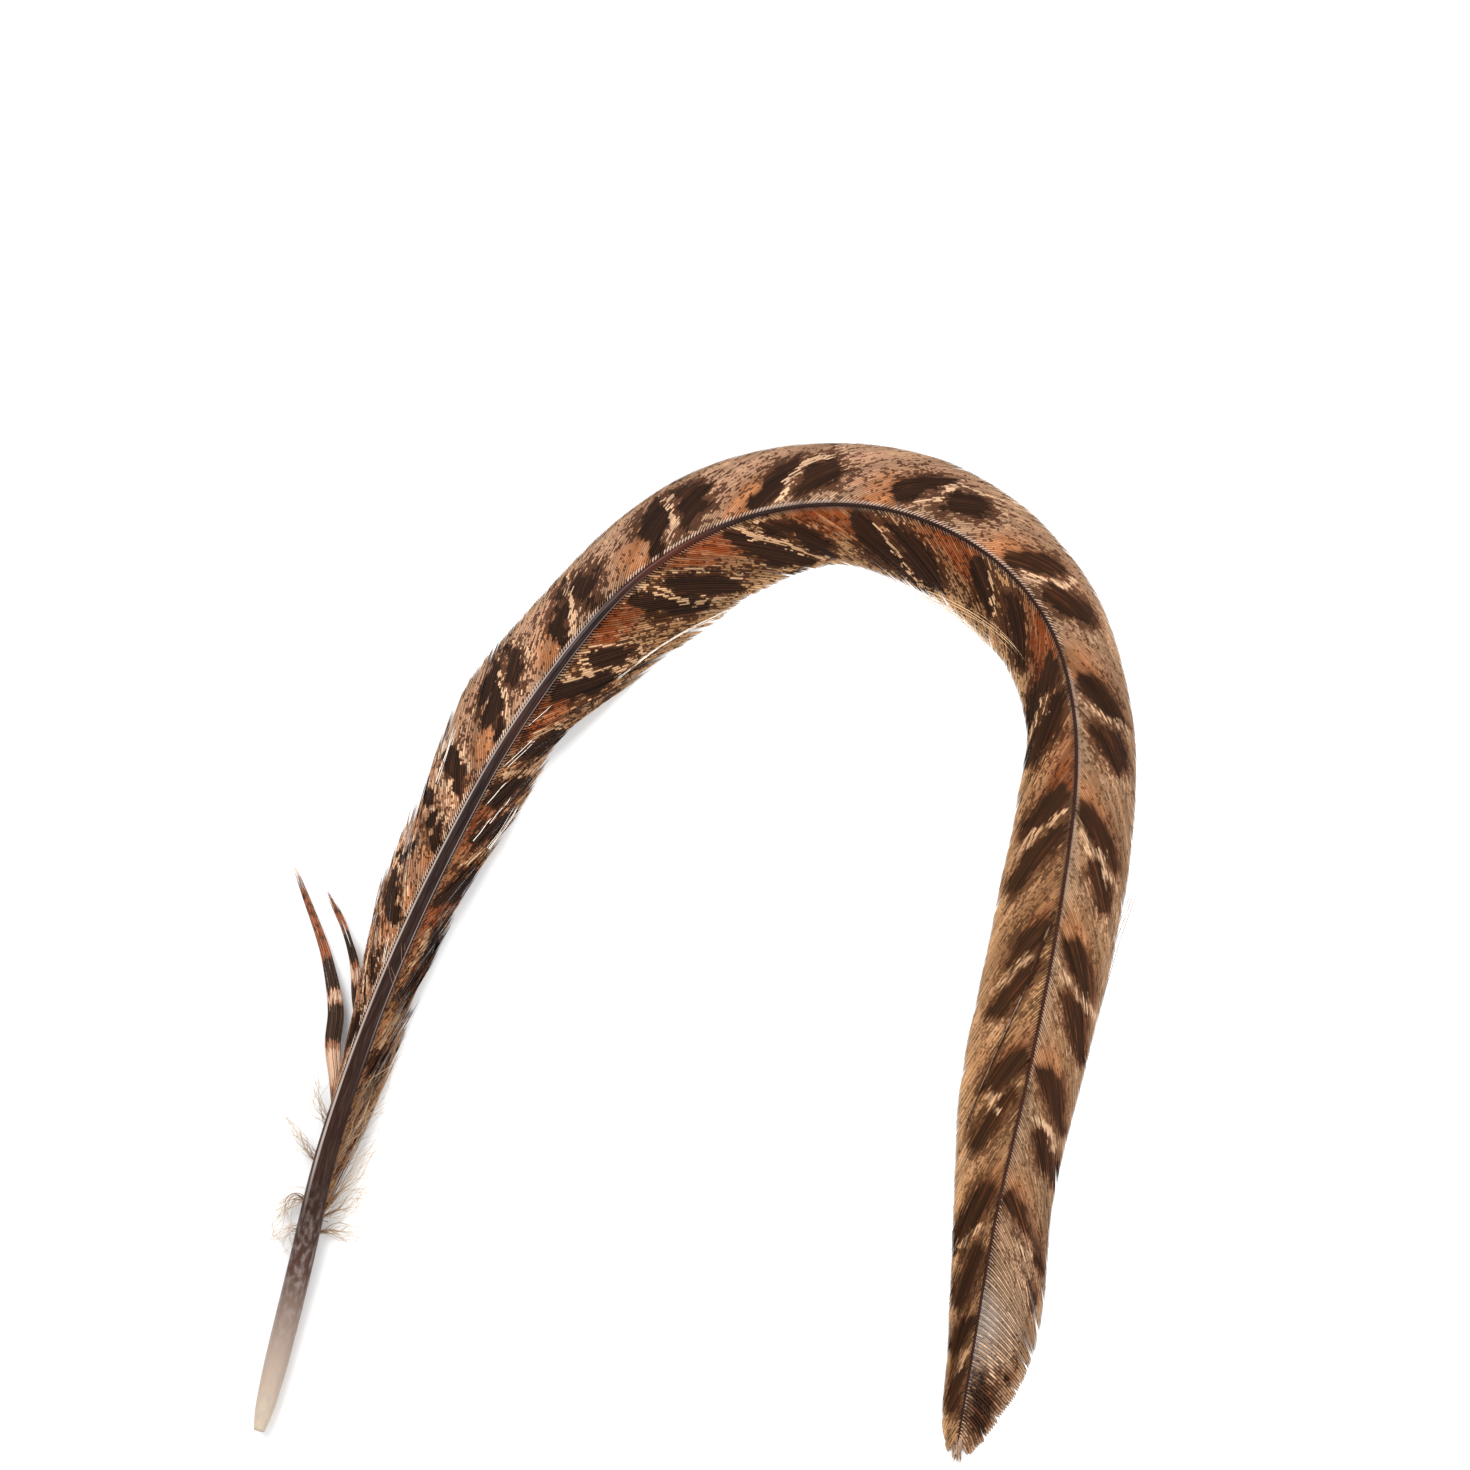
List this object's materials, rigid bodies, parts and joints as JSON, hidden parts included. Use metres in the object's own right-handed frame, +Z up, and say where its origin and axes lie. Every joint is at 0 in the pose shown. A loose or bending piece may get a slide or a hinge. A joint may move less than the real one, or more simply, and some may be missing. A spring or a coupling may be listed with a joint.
{
  "type": "pheasant tail feather",
  "caption": "Barred hen pheasant tail feather bent into an arch, lying flat, with a tapering shaft, asymmetric vanes, loose locks and a wisp of down at the quill.",
  "frame": {"origin": "On the surface that the feather lies on, below the middle of its bounding box", "axes": "+Z up, out of the feather's upper face; +Y from the two ends towards the top of the arch; +X from the quill's side to the tip's side"},
  "size_m": [0.1178, 0.1358, 0.0066],
  "materials": {
    "feather": "satin"
  },
  "bodies": {
    "root": {"tail_feather": "feather"}
  },
  "joints": []
}
